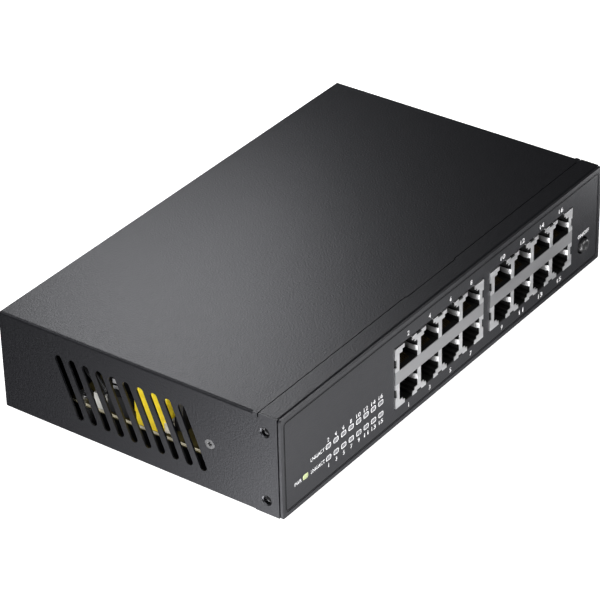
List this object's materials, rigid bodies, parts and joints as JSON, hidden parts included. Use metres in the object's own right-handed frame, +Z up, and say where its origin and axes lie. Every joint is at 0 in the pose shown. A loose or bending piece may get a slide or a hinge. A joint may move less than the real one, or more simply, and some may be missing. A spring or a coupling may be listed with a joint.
{
  "type": "desktop network switch",
  "caption": "Desktop network switch: folded steel case with slotted sides, two banks of stacked ports, indicator lights and a push button in front, and a mains inlet behind.",
  "frame": {"origin": "centre of the overall box at the underside of the rubber feet", "axes": "+X to the right seen from the front, +Y from the front panel to the rear, +Z up"},
  "size_m": [0.215, 0.131, 0.0438],
  "materials": {
    "case_paint": "fine satin texture",
    "fascia_plastic": "fine satin texture",
    "overlay_film": "satin film",
    "black_screw": "satin",
    "zinc_steel": "zinc plate",
    "foot_rubber": "matt",
    "port_plastic": "satin",
    "port_shield": "satin nickel plate",
    "gold_contact": "bright",
    "light_pipe": "clear, unlit",
    "lit_pipe": "clear, lit pale green",
    "button_plastic": "satin",
    "cream_plastic": "satin",
    "spring_steel": "bright wire",
    "green_board": "solder mask",
    "tan_board": "paper laminate with cream edges",
    "chip_plastic": "matt",
    "soft_pad": "matt",
    "bare_aluminium": "extruded",
    "capacitor_sleeve": "shrunk sleeve",
    "ferrite": "ground",
    "yellow_tape": "polyester tape",
    "enamelled_wire": "enamel",
    "copper_winding": "enamelled copper",
    "white_plastic": "satin",
    "yellow_box": "moulded box",
    "fuse_plastic": "satin",
    "black_film": "polyester film",
    "black_lead": "soft insulation",
    "red_lead": "soft insulation",
    "green_lead": "soft insulation"
  },
  "bodies": {
    "case": {"chassis_tray": "case_paint", "top_cover": "case_paint", "front_fascia": "fascia_plastic", "front_overlay": "overlay_film", "cover_side_screws": "black_screw", "cover_rear_screws": "black_screw", "ear_nuts": "zinc_steel", "rubber_feet": "foot_rubber", "left_port_housing": "port_plastic", "left_port_shield": "port_shield", "left_port_contacts": "gold_contact", "right_port_housing": "port_plastic", "right_port_shield": "port_shield", "right_port_contacts": "gold_contact", "link_light_pipes": "light_pipe", "power_light_pipe": "lit_pipe", "light_holders": "port_plastic", "light_chips": "light_pipe", "button_spring": "spring_steel", "button_switch_case": "port_plastic", "main_board": "green_board", "main_standoffs": "zinc_steel", "main_screws": "zinc_steel", "port_transformers": "chip_plastic", "switch_chip": "chip_plastic", "chip_pad": "soft_pad", "chip_heat_sink": "bare_aluminium", "port_driver_chips": "chip_plastic", "clock_crystal": "zinc_steel", "memory_chip": "chip_plastic", "board_capacitors": "capacitor_sleeve", "board_chokes": "ferrite", "board_header": "white_plastic", "supply_board": "tan_board", "supply_standoffs": "zinc_steel", "supply_screws": "zinc_steel", "insulating_sheet": "black_film", "transformer_core": "ferrite", "transformer_bobbin": "cream_plastic", "transformer_winding": "yellow_tape", "bulk_capacitor": "capacitor_sleeve", "output_capacitors": "capacitor_sleeve", "output_choke": "enamelled_wire", "output_header": "white_plastic", "supply_heat_sink": "bare_aluminium", "power_transistor": "chip_plastic", "bridge_rectifier": "chip_plastic", "suppression_capacitor": "yellow_box", "line_choke": "copper_winding", "line_fuse": "fuse_plastic", "mains_header": "white_plastic", "inlet_housing": "port_plastic", "inlet_pins": "gold_contact", "inlet_screws": "zinc_steel", "mains_leads": "black_lead", "supply_leads": "red_lead", "earth_lead": "green_lead", "earth_screw": "zinc_steel"},
    "push_button": {"button_cap": "button_plastic", "button_plunger": "cream_plastic"}
  },
  "joints": [
    {"name": "button_press", "type": "slide", "parent": "case", "child": "push_button", "axis": [0, 1, 0], "range_m": [0, 0.0012], "stiffness_N_per_m": 1000, "springref_m": -0.0015, "deforming": ["button_spring"]}
  ]
}
